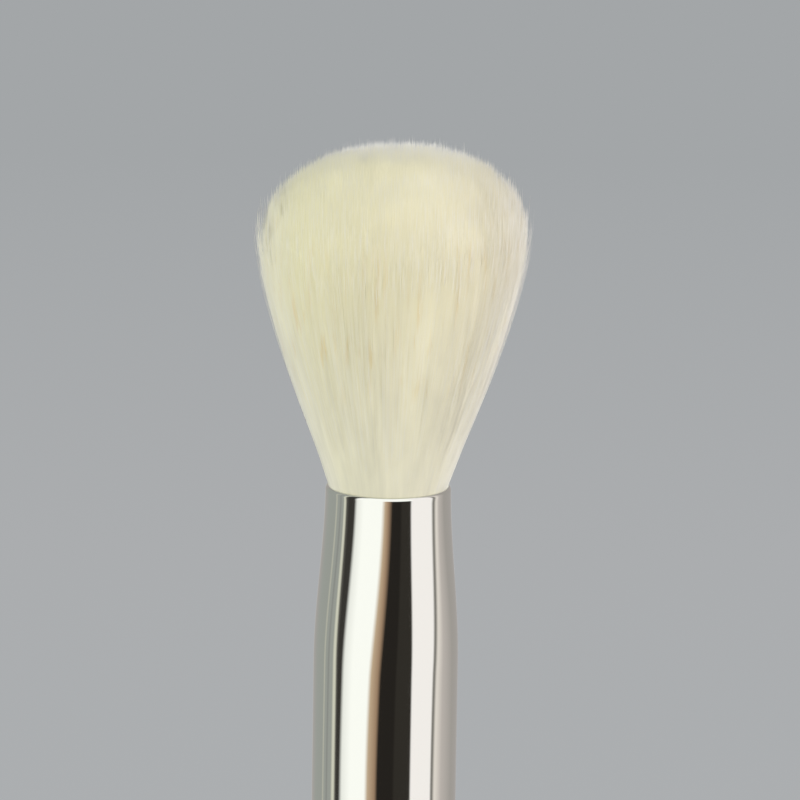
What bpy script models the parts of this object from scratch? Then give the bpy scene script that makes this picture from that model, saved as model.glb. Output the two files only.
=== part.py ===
"""Angled blush brush, made of the pieces that a brush maker puts together.

The hair is a round bundle, tied with thread, set in resin and pulled into a plated ferrule.
The ferrule is glued and crimped onto the tenon of a turned wooden handle.
Sizes are in metres. +Z runs up the handle to the hair, +Y away from the low side of the
slanted hair, and the origin is the centre of the flat on the handle's butt.
"""

import math
import random

import bmesh
import bpy
from mathutils import kdtree

# Fit between two pieces, and the distance within which a turned piece's points are one
CLEARANCE = 0.0003
MERGE_DISTANCE = 0.000001

# Handle, turned from wood
HANDLE_LENGTH = 0.095
BUTT_RADIUS = 0.0034
BUTT_FLAT_RADIUS = 0.0022
BUTT_ROUND_HEIGHT = 0.0026
BELLY_RADIUS = 0.0074
BELLY_HEIGHT = 0.079
SHOULDER_ROUND = 0.0004
TENON_LENGTH = 0.020
TENON_CHAMFER = 0.0008

# Ferrule, drawn from brass tube and nickel plated
FERRULE_LENGTH = 0.046
FERRULE_WALL = 0.00045
MOUTH_RADIUS = 0.00630
BARREL_RADIUS = 0.00728
END_RADIUS = 0.00690
FLARE_LENGTH = 0.018
END_TAPER_LENGTH = 0.014
LIP_ROUND = 0.00018
CRIMP_DEPTH = 0.00035
CRIMP_WIDTH = 0.0016
CRIMP_SPACING = 0.0034
CRIMP_OFFSET = 0.0045
CRIMP_COUNT = 2

# Glue in the tenon's groove
GLUE_THICKNESS = 0.0006
GLUE_WIDTH = 0.004
GLUE_DROP = 0.003

# Resin that holds the hair, and the thread that ties it
RESIN_DEPTH = 0.004
RESIN_SLICE = 0.001
PLUG_LENGTH = 0.013
PLUG_ROUND = 0.0006
THREAD_DIAMETER = 0.0005
THREAD_TURNS = 6
THREAD_DROP = 0.0035

# Hair, seen from the low side of its slant
HAIR_LENGTH = 0.0336
HAIR_HALF_WIDTH = 0.0137
HAIR_HALF_DEPTH = 0.0118
HAIR_BELLY_HEIGHT = 0.0262
SLANT_RISE = 0.005
SLANT_HEADING = math.radians(15)
DOME_RISE = 0.0074
DOME_POWER = 2.4
FRONT_DROP = 0.002
FRONT_START_SHARE = 0.6
SWELL_POWER = 1.45
ROOT_SHARE = 0.93
TAPER_LENGTH = 0.0042
LOWER_BEND_HEIGHT = 0.0115
TIP_SCATTER = 0.0004
STRAND_RINGS = 10
STRAND_SIDES = 3
STRAND_SIZE_SHARE = 0.57
GOLDEN_TURN = math.pi * (3 - math.sqrt(5))
SEED = 5

# Facets of the turned pieces
ROUND_STEPS = 40
INNER_STEPS = 24
FLARE_STATIONS = 9
END_STATIONS = 3
CRIMP_STATIONS = 5
ARC_STATIONS = 3
HANDLE_STATIONS = 14

# Where the pieces stand
SHOULDER_HEIGHT = HANDLE_LENGTH
FERRULE_FOOT = SHOULDER_HEIGHT + CLEARANCE
MOUTH_HEIGHT = FERRULE_FOOT + FERRULE_LENGTH
TENON_TOP = SHOULDER_HEIGHT + TENON_LENGTH
SLICE_TOP = MOUTH_HEIGHT - RESIN_DEPTH
PLUG_TOP = SLICE_TOP - RESIN_SLICE - CLEARANCE
PLUG_FOOT = PLUG_TOP - PLUG_LENGTH
TENON_RADIUS = END_RADIUS - FERRULE_WALL - CLEARANCE
GLUE_GROOVE_DEPTH = GLUE_THICKNESS + CLEARANCE
HAIR_MOUTH_RADIUS = MOUTH_RADIUS - FERRULE_WALL - CLEARANCE

PIECE_COLLECTION = "angled_blush_brush"
CUTTER_COLLECTION = "cutters"

# Colour, roughness and metallic value of each finish
FINISHES = {
    "black_lacquer": ((0.012, 0.011, 0.012), 0.12, 0.0),
    "nickel_plate": ((0.78, 0.76, 0.72), 0.10, 1.0),
    "goat_hair": ((0.82, 0.76, 0.60), 0.62, 0.0),
    "clear_resin": ((0.62, 0.46, 0.22), 0.25, 0.0),
    "cotton_thread": ((0.80, 0.79, 0.75), 0.80, 0.0),
    "tenon_glue": ((0.70, 0.66, 0.55), 0.35, 0.0),
}


def clear_scene():
    """Starts from an empty scene."""
    for thing in list(bpy.data.objects):
        bpy.data.objects.remove(thing, do_unlink=True)


def collection(name):
    """A collection of that name under the scene's own."""
    made = bpy.data.collections.new(name)
    bpy.context.scene.collection.children.link(made)
    return made


def finish(name):
    """A plain material from the table of finishes."""
    colour, roughness, metallic = FINISHES[name]
    material = bpy.data.materials.new(name)
    material.use_nodes = True
    shader = material.node_tree.nodes["Principled BSDF"]
    shader.inputs["Base Color"].default_value = (*colour, 1.0)
    shader.inputs["Roughness"].default_value = roughness
    shader.inputs["Metallic"].default_value = metallic
    material.diffuse_color = (*colour, 1.0)
    return material


def smooth(share):
    """Rises from 0 to 1 with a level start and end, and stays level outside them."""
    held = min(max(share, 0.0), 1.0)
    return held * held * (3 - 2 * held)


def blend(start, end, share):
    """The value that lies at a share of the way from start to end."""
    return start + (end - start) * share


def evenly(start, end, parts):
    """Values from start to end, both included, in equal parts."""
    return [blend(start, end, i / parts) for i in range(parts + 1)]


def turned(name, profile, steps, finish_name, group, ring=False):
    """A turned solid. Its profile is (radius, height) pairs, down the outer side.

    A ring's profile closes on itself, and any other begins and ends on the axis.
    """
    mesh = bpy.data.meshes.new(name)
    edges = [(i, i + 1) for i in range(len(profile) - 1)]
    if ring:
        edges.append((len(profile) - 1, 0))
    mesh.from_pydata([(radius, 0, height) for radius, height in profile], edges, [])
    solid = bpy.data.objects.new(name, mesh)
    group.objects.link(solid)
    mesh.materials.append(finish(finish_name))
    screw = solid.modifiers.new("turn", "SCREW")
    screw.steps = steps
    screw.render_steps = steps
    screw.use_merge_vertices = True
    screw.merge_threshold = MERGE_DISTANCE
    screw.use_smooth_shade = True
    return solid


def crimp_heights():
    """The heights of the crimps that grip the tenon."""
    return [
        FERRULE_FOOT + CRIMP_OFFSET + CRIMP_SPACING * i for i in range(CRIMP_COUNT)
    ]


def crimp_bite(height):
    """How far a crimp presses the ferrule's wall in at a height."""
    bite = 0.0
    for middle in crimp_heights():
        share = (height - middle) / CRIMP_WIDTH
        if abs(share) < 0.5:
            bite += CRIMP_DEPTH * (1 + math.cos(2 * math.pi * share)) / 2
    return bite


def ferrule_radius(height):
    """The ferrule's outer radius: it flares below the mouth and draws in at the handle."""
    flare = smooth((MOUTH_HEIGHT - height) / FLARE_LENGTH)
    end_taper = smooth((FERRULE_FOOT + END_TAPER_LENGTH - height) / END_TAPER_LENGTH)
    widened = blend(MOUTH_RADIUS, BARREL_RADIUS, flare)
    return widened - (BARREL_RADIUS - END_RADIUS) * end_taper - crimp_bite(height)


def bore_radius(height):
    """The ferrule's inner radius."""
    return ferrule_radius(height) - FERRULE_WALL


def crimp_stations():
    """Heights that follow the crimps, from the top one down."""
    stations = []
    for middle in reversed(crimp_heights()):
        half = CRIMP_WIDTH / 2
        stations += evenly(middle + half, middle - half, CRIMP_STATIONS)
    return stations


def ferrule_stations():
    """Heights of the ferrule's profile between its two lips, from the top down."""
    top = MOUTH_HEIGHT - LIP_ROUND
    flare_foot = MOUTH_HEIGHT - FLARE_LENGTH
    taper_top = FERRULE_FOOT + END_TAPER_LENGTH
    crimps = crimp_stations()
    stations = evenly(top, flare_foot, FLARE_STATIONS)
    stations += evenly(taper_top, crimps[0], END_STATIONS)[:-1]
    return stations + crimps + [FERRULE_FOOT + LIP_ROUND]


def lip(height, radius, upward, start, end):
    """An arc of a lip's round edge, with angles counted from straight out."""
    points = []
    for angle in evenly(start, end, ARC_STATIONS):
        points.append(
            (
                radius + LIP_ROUND * math.cos(angle),
                height + upward * LIP_ROUND * math.sin(angle),
            )
        )
    return points


def make_ferrule(group):
    """The plated shell that joins the hair to the handle, open at both ends."""
    stations = ferrule_stations()
    top, foot = stations[0], stations[-1]
    quarter, half = math.pi / 2, math.pi
    outer = [(ferrule_radius(height), height) for height in stations]
    inner = [(bore_radius(height), height) for height in reversed(stations)]
    top_outer = ferrule_radius(top) - LIP_ROUND
    top_inner = bore_radius(top) + LIP_ROUND
    foot_outer = ferrule_radius(foot) - LIP_ROUND
    foot_inner = bore_radius(foot) + LIP_ROUND
    profile = lip(top, top_outer, 1, quarter, 0)[:-1] + outer
    profile += lip(foot, foot_outer, -1, 0, quarter)[1:]
    profile += lip(foot, foot_inner, -1, quarter, half)[:-1] + inner
    profile += lip(top, top_inner, 1, half, quarter)[1:]
    return turned("ferrule", profile, ROUND_STEPS, "nickel_plate", group, ring=True)


def handle_radius(height):
    """The handle's outer radius: slender at the butt, with a belly below the shoulder."""
    if height < BELLY_HEIGHT:
        rise = smooth(height / BELLY_HEIGHT)
        return blend(BUTT_RADIUS, BELLY_RADIUS, rise)
    fall = smooth((height - BELLY_HEIGHT) / (SHOULDER_HEIGHT - BELLY_HEIGHT))
    return blend(BELLY_RADIUS, END_RADIUS, fall)


def tenon_profile():
    """The tenon, from its chamfered top to the shoulder, with glue groove and crimps."""
    groove_top = TENON_TOP - GLUE_DROP
    groove_foot = groove_top - GLUE_WIDTH - 2 * CLEARANCE
    groove_radius = TENON_RADIUS - GLUE_GROOVE_DEPTH
    profile = [
        (0.0, TENON_TOP),
        (TENON_RADIUS - TENON_CHAMFER, TENON_TOP),
        (TENON_RADIUS, TENON_TOP - TENON_CHAMFER),
        (TENON_RADIUS, groove_top),
        (groove_radius, groove_top),
        (groove_radius, groove_foot),
        (TENON_RADIUS, groove_foot),
    ]
    for height in crimp_stations():
        profile.append((TENON_RADIUS - crimp_bite(height), height))
    profile.append((TENON_RADIUS, SHOULDER_HEIGHT))
    return profile


def make_handle(group):
    """The turned handle, whose tenon stands in the ferrule."""
    quarter = math.pi / 2
    profile = tenon_profile()
    for angle in evenly(quarter, 0, ARC_STATIONS):
        radius = END_RADIUS - SHOULDER_ROUND + SHOULDER_ROUND * math.cos(angle)
        height = SHOULDER_HEIGHT - SHOULDER_ROUND + SHOULDER_ROUND * math.sin(angle)
        profile.append((radius, height))
    below_shoulder = SHOULDER_HEIGHT - SHOULDER_ROUND
    for height in evenly(below_shoulder, BUTT_ROUND_HEIGHT, HANDLE_STATIONS)[1:]:
        profile.append((handle_radius(height), height))
    butt_radius = handle_radius(BUTT_ROUND_HEIGHT)
    for angle in evenly(quarter, 0, ARC_STATIONS)[1:]:
        radius = blend(BUTT_FLAT_RADIUS, butt_radius, math.sin(angle))
        height = BUTT_ROUND_HEIGHT * (1 - math.cos(angle))
        profile.append((radius, height))
    profile.append((0.0, 0.0))
    return turned("handle", profile, ROUND_STEPS, "black_lacquer", group)


def make_tenon_glue(group):
    """The ring of glue in the tenon's groove."""
    top = TENON_TOP - GLUE_DROP - CLEARANCE
    foot = top - GLUE_WIDTH
    inner = TENON_RADIUS - GLUE_GROOVE_DEPTH + CLEARANCE
    outer = inner + GLUE_THICKNESS
    profile = [(inner, top), (outer, top), (outer, foot), (inner, foot)]
    return turned("tenon_glue", profile, INNER_STEPS, "tenon_glue", group, ring=True)


def thread_top():
    """The height of the top of the thread's winding."""
    return PLUG_TOP - THREAD_DROP


def thread_length():
    """How much of the plug's length the winding takes."""
    return THREAD_DIAMETER * THREAD_TURNS


def thread_outer_radius():
    """The outer radius of the winding, clear of the bore all along it."""
    return bore_radius(thread_top()) - CLEARANCE


def make_resin_plug(group):
    """The resin that holds the hair's roots, with the thread's seat round it."""
    seat_top = thread_top() + CLEARANCE
    seat_foot = thread_top() - thread_length() - CLEARANCE
    seat_radius = thread_outer_radius() - THREAD_DIAMETER - CLEARANCE
    foot_radius = bore_radius(PLUG_FOOT) - CLEARANCE
    profile = [(0.0, PLUG_TOP)]
    for height in evenly(PLUG_TOP, seat_top, ARC_STATIONS):
        profile.append((bore_radius(height) - CLEARANCE, height))
    profile += [(seat_radius, seat_top), (seat_radius, seat_foot)]
    for height in evenly(seat_foot, PLUG_FOOT + PLUG_ROUND, ARC_STATIONS):
        profile.append((bore_radius(height) - CLEARANCE, height))
    profile += [(foot_radius - PLUG_ROUND, PLUG_FOOT), (0.0, PLUG_FOOT)]
    return turned("resin_plug", profile, INNER_STEPS, "clear_resin", group)


def make_binding_thread(group):
    """The winding that ties the hair, as one band with a rib for each turn."""
    outer = thread_outer_radius()
    inner = outer - THREAD_DIAMETER
    half = THREAD_DIAMETER / 2
    profile = [(inner, thread_top())]
    for turn in range(THREAD_TURNS):
        middle = thread_top() - THREAD_DIAMETER * (turn + 0.5)
        for angle in evenly(math.pi / 3, -math.pi / 3, 2):
            profile.append(
                (
                    outer - half + half * math.cos(angle),
                    middle + half * math.sin(angle),
                )
            )
    profile.append((inner, thread_top() - thread_length()))
    return turned(
        "binding_thread", profile, INNER_STEPS, "cotton_thread", group, ring=True
    )


def hair_reach(height):
    """The hair's half width and half depth at a height over the mouth, as one solid.

    The bundle is drawn in at its root, leaves the mouth round and swells to an oval.
    """
    if height < 0:
        share = blend(1.0, ROOT_SHARE, -height / (RESIN_DEPTH + RESIN_SLICE))
        return HAIR_MOUTH_RADIUS * share, HAIR_MOUTH_RADIUS * share
    left = max(1 - height / HAIR_BELLY_HEIGHT, 0.0)
    swell = 1 - left**SWELL_POWER
    return (
        blend(HAIR_MOUTH_RADIUS, HAIR_HALF_WIDTH, swell),
        blend(HAIR_MOUTH_RADIUS, HAIR_HALF_DEPTH, swell),
    )


def tip_height(across, away):
    """How high over the mouth a hair ends, by its place in the bundle, from -1 to 1.

    The ends lie on a dome that slants up towards the back, and a little to the right.
    The dome's low front edge is rounded off, so that it runs into the bundle's side.
    """
    out = math.hypot(across, away)
    uphill = across * math.sin(SLANT_HEADING) + away * math.cos(SLANT_HEADING)
    crown = math.sqrt(max(1 - out**DOME_POWER, 0.0))
    crest = math.hypot(SLANT_RISE / 2, DOME_RISE)
    frontness = max(-away / out, 0.0)
    outer = max((out - FRONT_START_SHARE) / (1 - FRONT_START_SHARE), 0.0)
    slanted = HAIR_LENGTH - crest + uphill * SLANT_RISE / 2
    return slanted + crown * DOME_RISE - FRONT_DROP * frontness * outer**2


def strand_places():
    """Each strand's (ring number, angle) in the bundle: six more strands a ring."""
    places = []
    for ring in range(1, STRAND_RINGS + 1):
        for step in range(6 * ring):
            places.append((ring, ring * GOLDEN_TURN + math.pi * step / (3 * ring)))
    return places


def ring_pitch():
    """The share of the bundle's reach between two rings: the last one's corners reach 1."""
    side_turn = math.pi / STRAND_SIDES
    outwards = STRAND_RINGS + STRAND_SIZE_SHARE * math.cos(side_turn)
    return 1 / math.hypot(outwards, STRAND_SIZE_SHARE * math.sin(side_turn))


def strand_section(ring, angle, height):
    """The corners of a strand's section, with a flat side turned outwards."""
    half_width, half_depth = hair_reach(height)
    pitch = ring_pitch()
    corners = []
    for side in range(STRAND_SIDES):
        turn = angle + math.pi + 2 * math.pi * side / STRAND_SIDES
        across = ring * math.cos(angle) + STRAND_SIZE_SHARE * math.cos(turn)
        away = ring * math.sin(angle) + STRAND_SIZE_SHARE * math.sin(turn)
        corners.append(
            (
                half_width * across * pitch,
                half_depth * away * pitch,
                MOUTH_HEIGHT + height,
            )
        )
    return corners


def strand_form(ring, angle, chance):
    """A strand's sections, from the root up, and the point of its tip."""
    across = ring * math.cos(angle) * ring_pitch()
    away = ring * math.sin(angle) * ring_pitch()
    tip = tip_height(across, away) + chance.uniform(-TIP_SCATTER, TIP_SCATTER)
    root = -RESIN_DEPTH - RESIN_SLICE / 2
    heights = [root, 0.0, LOWER_BEND_HEIGHT, tip - TAPER_LENGTH]
    sections = [strand_section(ring, angle, height) for height in heights]
    half_width, half_depth = hair_reach(tip)
    point = (half_width * across, half_depth * away, MOUTH_HEIGHT + tip)
    return sections, point


def loft(bm, sections, point):
    """Adds a closed solid that runs through the sections and ends in a point."""
    rings = [[bm.verts.new(corner) for corner in section] for section in sections]
    sides = len(rings[0])
    bm.faces.new(list(reversed(rings[0])))
    for lower, upper in zip(rings, rings[1:]):
        for i in range(sides):
            j = (i + 1) % sides
            bm.faces.new((lower[i], lower[j], upper[j], upper[i]))
    peak = bm.verts.new(point)
    for i in range(sides):
        bm.faces.new((rings[-1][i], rings[-1][(i + 1) % sides], peak))


def section_at(form, height):
    """The corners of a strand's section at a height, or nothing above its tip."""
    sections, point = form
    stops = sections + [[point] * STRAND_SIDES]
    for lower, upper in zip(stops, stops[1:]):
        low, high = lower[0][2], upper[0][2]
        if low <= height < high:
            share = (height - low) / (high - low)
            return [
                tuple(blend(p, q, share) for p, q in zip(a, b))
                for a, b in zip(lower, upper)
            ]
    return []


def least_gap(forms, levels=16, parts=4):
    """The least distance between two strands, on points round their sections."""
    found = []
    for height in evenly(SLICE_TOP, MOUTH_HEIGHT + HAIR_LENGTH, levels):
        points = []
        for number, form in enumerate(forms):
            corners = section_at(form, height)
            for start, end in zip(corners, corners[1:] + corners[:1]):
                for share in evenly(0.0, 1.0, parts)[:-1]:
                    place = [blend(p, q, share) for p, q in zip(start, end)]
                    points.append((place, number))
        tree = kdtree.KDTree(len(points))
        for index, (place, _) in enumerate(points):
            tree.insert(place, index)
        tree.balance()
        for place, number in points:
            near = tree.find_n(place, parts * STRAND_SIDES + 1)
            found += [gap for _, i, gap in near if points[i][1] != number][:1]
    return min(found)


def make_resin_slice(group):
    """The top slice of the resin, which the strands are fused to."""
    bm = bmesh.new()
    radius = bore_radius(SLICE_TOP) - CLEARANCE
    bmesh.ops.create_cone(
        bm,
        cap_ends=True,
        segments=ROUND_STEPS,
        radius1=radius,
        radius2=radius,
        depth=RESIN_SLICE,
    )
    mesh = bpy.data.meshes.new("resin_slice")
    bm.to_mesh(mesh)
    bm.free()
    disc = bpy.data.objects.new("resin_slice", mesh)
    disc.location.z = SLICE_TOP - RESIN_SLICE / 2
    disc.hide_render = True
    disc.display_type = "WIRE"
    group.objects.link(disc)
    return disc


def make_hair_tuft(group, cutters):
    """The hair, as strands that swell from the root and end on the slanted dome."""
    chance = random.Random(SEED)
    forms = [strand_form(ring, angle, chance) for ring, angle in strand_places()]
    bm = bmesh.new()
    for sections, point in forms:
        loft(bm, sections, point)
    mesh = bpy.data.meshes.new("hair_tuft")
    bm.to_mesh(mesh)
    bm.free()
    mesh.materials.append(finish("goat_hair"))
    tuft = bpy.data.objects.new("hair_tuft", mesh)
    group.objects.link(tuft)
    join = tuft.modifiers.new("fuse_to_resin", "BOOLEAN")
    join.operation = "UNION"
    join.solver = "EXACT"
    join.object = make_resin_slice(cutters)
    gap = least_gap(forms)
    print(f"hair_tuft: {len(forms)} strands, least gap {gap * 1000:.3f} mm")
    return tuft


def main():
    """Makes the whole brush."""
    clear_scene()
    pieces = collection(PIECE_COLLECTION)
    cutters = collection(CUTTER_COLLECTION)
    make_handle(pieces)
    make_ferrule(pieces)
    make_tenon_glue(pieces)
    make_resin_plug(pieces)
    make_binding_thread(pieces)
    make_hair_tuft(pieces, cutters)


main()
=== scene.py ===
# %% [markdown]
# # An angled blush brush
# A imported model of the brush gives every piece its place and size. This notebook dresses it:
# a mirror-bright ferrule, a lacquered handle and about fifty thousand goat hairs. Lengths are
# in metres. The brush stands on its butt at the origin, and +Z runs up to the hair.

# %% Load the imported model
import math

import bmesh
import bpy
import numpy as np
from mathutils import Matrix, Vector


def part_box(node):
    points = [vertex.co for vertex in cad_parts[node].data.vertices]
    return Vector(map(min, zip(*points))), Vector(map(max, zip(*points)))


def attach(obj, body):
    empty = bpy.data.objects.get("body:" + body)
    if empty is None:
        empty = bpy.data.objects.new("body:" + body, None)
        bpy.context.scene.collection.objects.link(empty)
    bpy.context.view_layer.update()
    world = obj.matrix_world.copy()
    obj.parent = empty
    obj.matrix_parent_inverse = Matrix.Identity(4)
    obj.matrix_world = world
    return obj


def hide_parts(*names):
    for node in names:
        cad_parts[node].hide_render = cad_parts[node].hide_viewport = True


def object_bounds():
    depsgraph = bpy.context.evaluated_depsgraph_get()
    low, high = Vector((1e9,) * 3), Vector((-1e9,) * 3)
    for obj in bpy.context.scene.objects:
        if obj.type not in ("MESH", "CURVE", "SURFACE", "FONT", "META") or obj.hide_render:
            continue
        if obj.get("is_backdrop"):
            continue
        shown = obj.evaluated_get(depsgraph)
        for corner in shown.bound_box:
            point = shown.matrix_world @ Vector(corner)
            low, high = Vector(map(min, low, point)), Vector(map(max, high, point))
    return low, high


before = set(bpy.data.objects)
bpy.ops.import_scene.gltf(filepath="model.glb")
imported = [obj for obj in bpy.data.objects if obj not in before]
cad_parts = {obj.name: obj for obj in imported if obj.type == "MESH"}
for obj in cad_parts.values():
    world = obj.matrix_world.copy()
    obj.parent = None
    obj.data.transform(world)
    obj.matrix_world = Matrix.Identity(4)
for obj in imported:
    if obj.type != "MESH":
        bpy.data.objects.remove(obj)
CAD_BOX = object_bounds()
BODY = "root"
MM = 0.001
for node_name in sorted(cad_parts):
    low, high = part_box(node_name)
    spans = [round((high[i] - low[i]) / MM, 1) for i in range(3)]
    print(f"{node_name}: {spans} mm from z {low[2] / MM:.1f} mm")

# %% [markdown]
# ## Heights that the pieces share
# The ferrule's two ends and the top of the handle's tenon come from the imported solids, so the
# pieces made here stand exactly where the solids stand. Helpers for smooth curves come first,
# since the shapes of the ferrule, the handle and the hair are all written as curves of height.

# %% Shared heights and curve helpers
FERRULE_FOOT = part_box("ferrule")[0][2]
MOUTH_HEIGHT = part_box("ferrule")[1][2]
TENON_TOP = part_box("handle")[1][2]


def blend(start, end, share):
    """The value that lies at a share of the way from start to end."""
    return start + (end - start) * share


def smooth(share):
    """Rises from 0 to 1 with a level start and end."""
    held = min(max(share, 0.0), 1.0)
    return held * held * (3 - 2 * held)


def evenly(start, end, parts):
    """Values from start to end, both included, in equal parts."""
    return [blend(start, end, i / parts) for i in range(parts + 1)]


print(f"ferrule from {FERRULE_FOOT / MM:.1f} to {MOUTH_HEIGHT / MM:.1f} mm")

# %% [markdown]
# ## Camera
# The picture is taken from a distance with a long lens, a little above the brush, so that the
# mouth of the ferrule shows as a shallow curve. The frame is 80 mm wide at the brush. The
# camera is rolled by about a degree, which makes the brush lean a little to the right.

# %% Camera
FRAME_WIDTH = 80 * MM
LENS = 300
SENSOR = 36
LOOK_DOWN = math.radians(12)
ROLL = math.radians(0.9)
FRAME_CENTRE = Vector((1.03 * MM, 0, MOUTH_HEIGHT + 8.7 * MM))


def placed(name, data):
    """An object with this data, standing in the scene."""
    made = bpy.data.objects.new(name, data)
    bpy.context.scene.collection.objects.link(made)
    return made


camera_data = bpy.data.cameras.new("camera")
camera_data.lens = LENS
camera_data.sensor_width = SENSOR
camera_distance = LENS * FRAME_WIDTH / SENSOR
camera = placed("camera", camera_data)
away = Vector((0, -math.cos(LOOK_DOWN), math.sin(LOOK_DOWN)))
camera.matrix_world = (
    Matrix.Translation(FRAME_CENTRE + camera_distance * away)
    @ Matrix.Rotation(math.pi / 2 - LOOK_DOWN, 4, "X")
    @ Matrix.Rotation(ROLL, 4, "Z")
)
bpy.context.scene.camera = camera
bpy.context.scene.view_settings.view_transform = "Standard"
print(f"camera {camera_distance:.3f} m from the brush")

# %% [markdown]
# ## Node helpers
# Materials and shapes are both trees of nodes. One helper adds a node, sets its options and
# feeds its inputs, either with a plain value or with another node's output. The others are
# built on it: sums, vectors and spreads first, and then what only materials need.


# %% Node helpers
def add_node(tree, kind, options=None, inputs=None):
    """Adds a node, sets its options and feeds its inputs by name or number."""
    made = tree.nodes.new(kind)
    for option, value in (options or {}).items():
        setattr(made, option, value)
    for key, value in (inputs or {}).items():
        if isinstance(value, bpy.types.NodeSocket):
            tree.links.new(value, made.inputs[key])
        else:
            made.inputs[key].default_value = value
    return made


def math_node(tree, operation, *values):
    """The output of a Math node with these values."""
    inputs = dict(enumerate(values))
    return add_node(tree, "ShaderNodeMath", {"operation": operation}, inputs).outputs[0]


def vector_node(tree, operation, *values):
    """The output of a Vector Math node with these values."""
    inputs = dict(enumerate(values))
    made = add_node(tree, "ShaderNodeVectorMath", {"operation": operation}, inputs)
    return made.outputs["Value" if operation == "LENGTH" else "Vector"]


def scaled(tree, vector, amount):
    """A vector scaled by an amount."""
    inputs = {0: vector, "Scale": amount}
    return add_node(tree, "ShaderNodeVectorMath", {"operation": "SCALE"}, inputs).outputs[0]


def combined(tree, **axes):
    """A vector made of a value for each axis that is named."""
    return add_node(tree, "ShaderNodeCombineXYZ", inputs=axes).outputs[0]


def mapped(tree, value, low, high):
    """A value turned into a share of the way from low to high."""
    inputs = {"Value": value, "From Min": low, "From Max": high}
    return add_node(tree, "ShaderNodeMapRange", inputs=inputs).outputs["Result"]


def varied(tree, share, low, high):
    """A share from 0 to 1, spread between two levels."""
    inputs = {"Value": share, "To Min": low, "To Max": high}
    return add_node(tree, "ShaderNodeMapRange", inputs=inputs).outputs["Result"]


# %% Material helpers
def mixed(tree, share, first, second):
    """A colour that lies at a share of the way from the first to the second."""
    inputs = {"Factor": share, "A": first, "B": second}
    return add_node(tree, "ShaderNodeMix", {"data_type": "RGBA"}, inputs).outputs["Result"]


def bumped(tree, height, strength, distance):
    """The normals of a surface with a relief of this height."""
    inputs = {"Strength": strength, "Distance": distance, "Height": height}
    return add_node(tree, "ShaderNodeBump", inputs=inputs).outputs["Normal"]


def new_material(name):
    """A material with a fresh tree, and its output node."""
    material = bpy.data.materials.new(name)
    material.use_nodes = True
    material.node_tree.nodes.clear()
    output = add_node(material.node_tree, "ShaderNodeOutputMaterial")
    return material, material.node_tree, output


def end_material(tree, output, inputs):
    """Ends a material in a Principled shader with these inputs."""
    shader = add_node(tree, "ShaderNodeBsdfPrincipled", inputs=inputs)
    tree.links.new(shader.outputs[0], output.inputs["Surface"])


def seen_directly(tree):
    """1 for rays from the camera, off a mirror or through glass, and 0 for soft light."""
    path = add_node(tree, "ShaderNodeLightPath").outputs
    mirrored = math_node(tree, "MAXIMUM", path["Is Camera Ray"], path["Is Glossy Ray"])
    return math_node(tree, "MAXIMUM", mirrored, path["Is Transmission Ray"])


# %% [markdown]
# ## Floor
# A brush is photographed on plain grey paper. Near the brush the floor is a soft matt surface
# that takes its shadow. Further off it shows a fixed grey that fades with distance, which
# keeps the background even, whatever the lamps do.


# %% Colours as a screen shows them
def from_screen(red, green, blue):
    """A colour as a screen shows it, from 0 to 255, turned into linear light."""
    shown = [value / 255 for value in (red, green, blue)]
    return tuple(v / 12.92 if v <= 0.04045 else ((v + 0.055) / 1.055) ** 2.4 for v in shown)


# %% Floor
FLOOR_RADIUS = 4.0
FLOOR_STEPS = 96
NEAR_GREY = from_screen(172, 175, 177)
MIDDLE_GREY = from_screen(171, 173, 175)
FAR_GREY = from_screen(163, 166, 168)
GREY_DISTANCES = (0.31, 0.57, 1.0)
SHADOW_REACH = (0.10, 0.26)

floor_mesh = bpy.data.meshes.new("floor")
floor_shape = bmesh.new()
bmesh.ops.create_circle(floor_shape, cap_ends=True, segments=FLOOR_STEPS, radius=FLOOR_RADIUS)
floor_shape.to_mesh(floor_mesh)
floor_shape.free()
floor = placed("floor", floor_mesh)

floor_material, tree, output = new_material("grey_paper")
place = add_node(tree, "ShaderNodeTexCoord").outputs["Object"]
distance = vector_node(tree, "LENGTH", place)
greys = add_node(tree, "ShaderNodeValToRGB", inputs={"Fac": distance})
ramp = greys.color_ramp.elements
ramp[0].position, ramp[0].color = GREY_DISTANCES[0], (*NEAR_GREY, 1)
ramp[1].position, ramp[1].color = GREY_DISTANCES[2], (*FAR_GREY, 1)
ramp.new(GREY_DISTANCES[1]).color = (*MIDDLE_GREY, 1)
matt = add_node(
    tree,
    "ShaderNodeBsdfPrincipled",
    inputs={"Base Color": greys.outputs["Color"], "Roughness": 0.9, "Specular IOR Level": 0.1},
)
fixed = add_node(tree, "ShaderNodeEmission", inputs={"Color": greys.outputs["Color"]})
share = math_node(tree, "MULTIPLY", mapped(tree, distance, *SHADOW_REACH), seen_directly(tree))
surface = add_node(
    tree, "ShaderNodeMixShader", inputs={0: share, 1: matt.outputs[0], 2: fixed.outputs[0]}
)
tree.links.new(surface.outputs[0], output.inputs["Surface"])
floor_mesh.materials.append(floor_material)
floor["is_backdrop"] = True
print(f"floor with a radius of {FLOOR_RADIUS:.0f} m")

# %% [markdown]
# ## Soft light
# Two lamps stand at the sides, a slightly warm one on the left and a slightly pink one on the
# right, so the front is lit evenly from edge to edge. A broad one above and two weak cool ones
# behind keep the outline bright. The sky adds an even fill. Their levels are set so that a
# surface shows about the colour that it is given.

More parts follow.
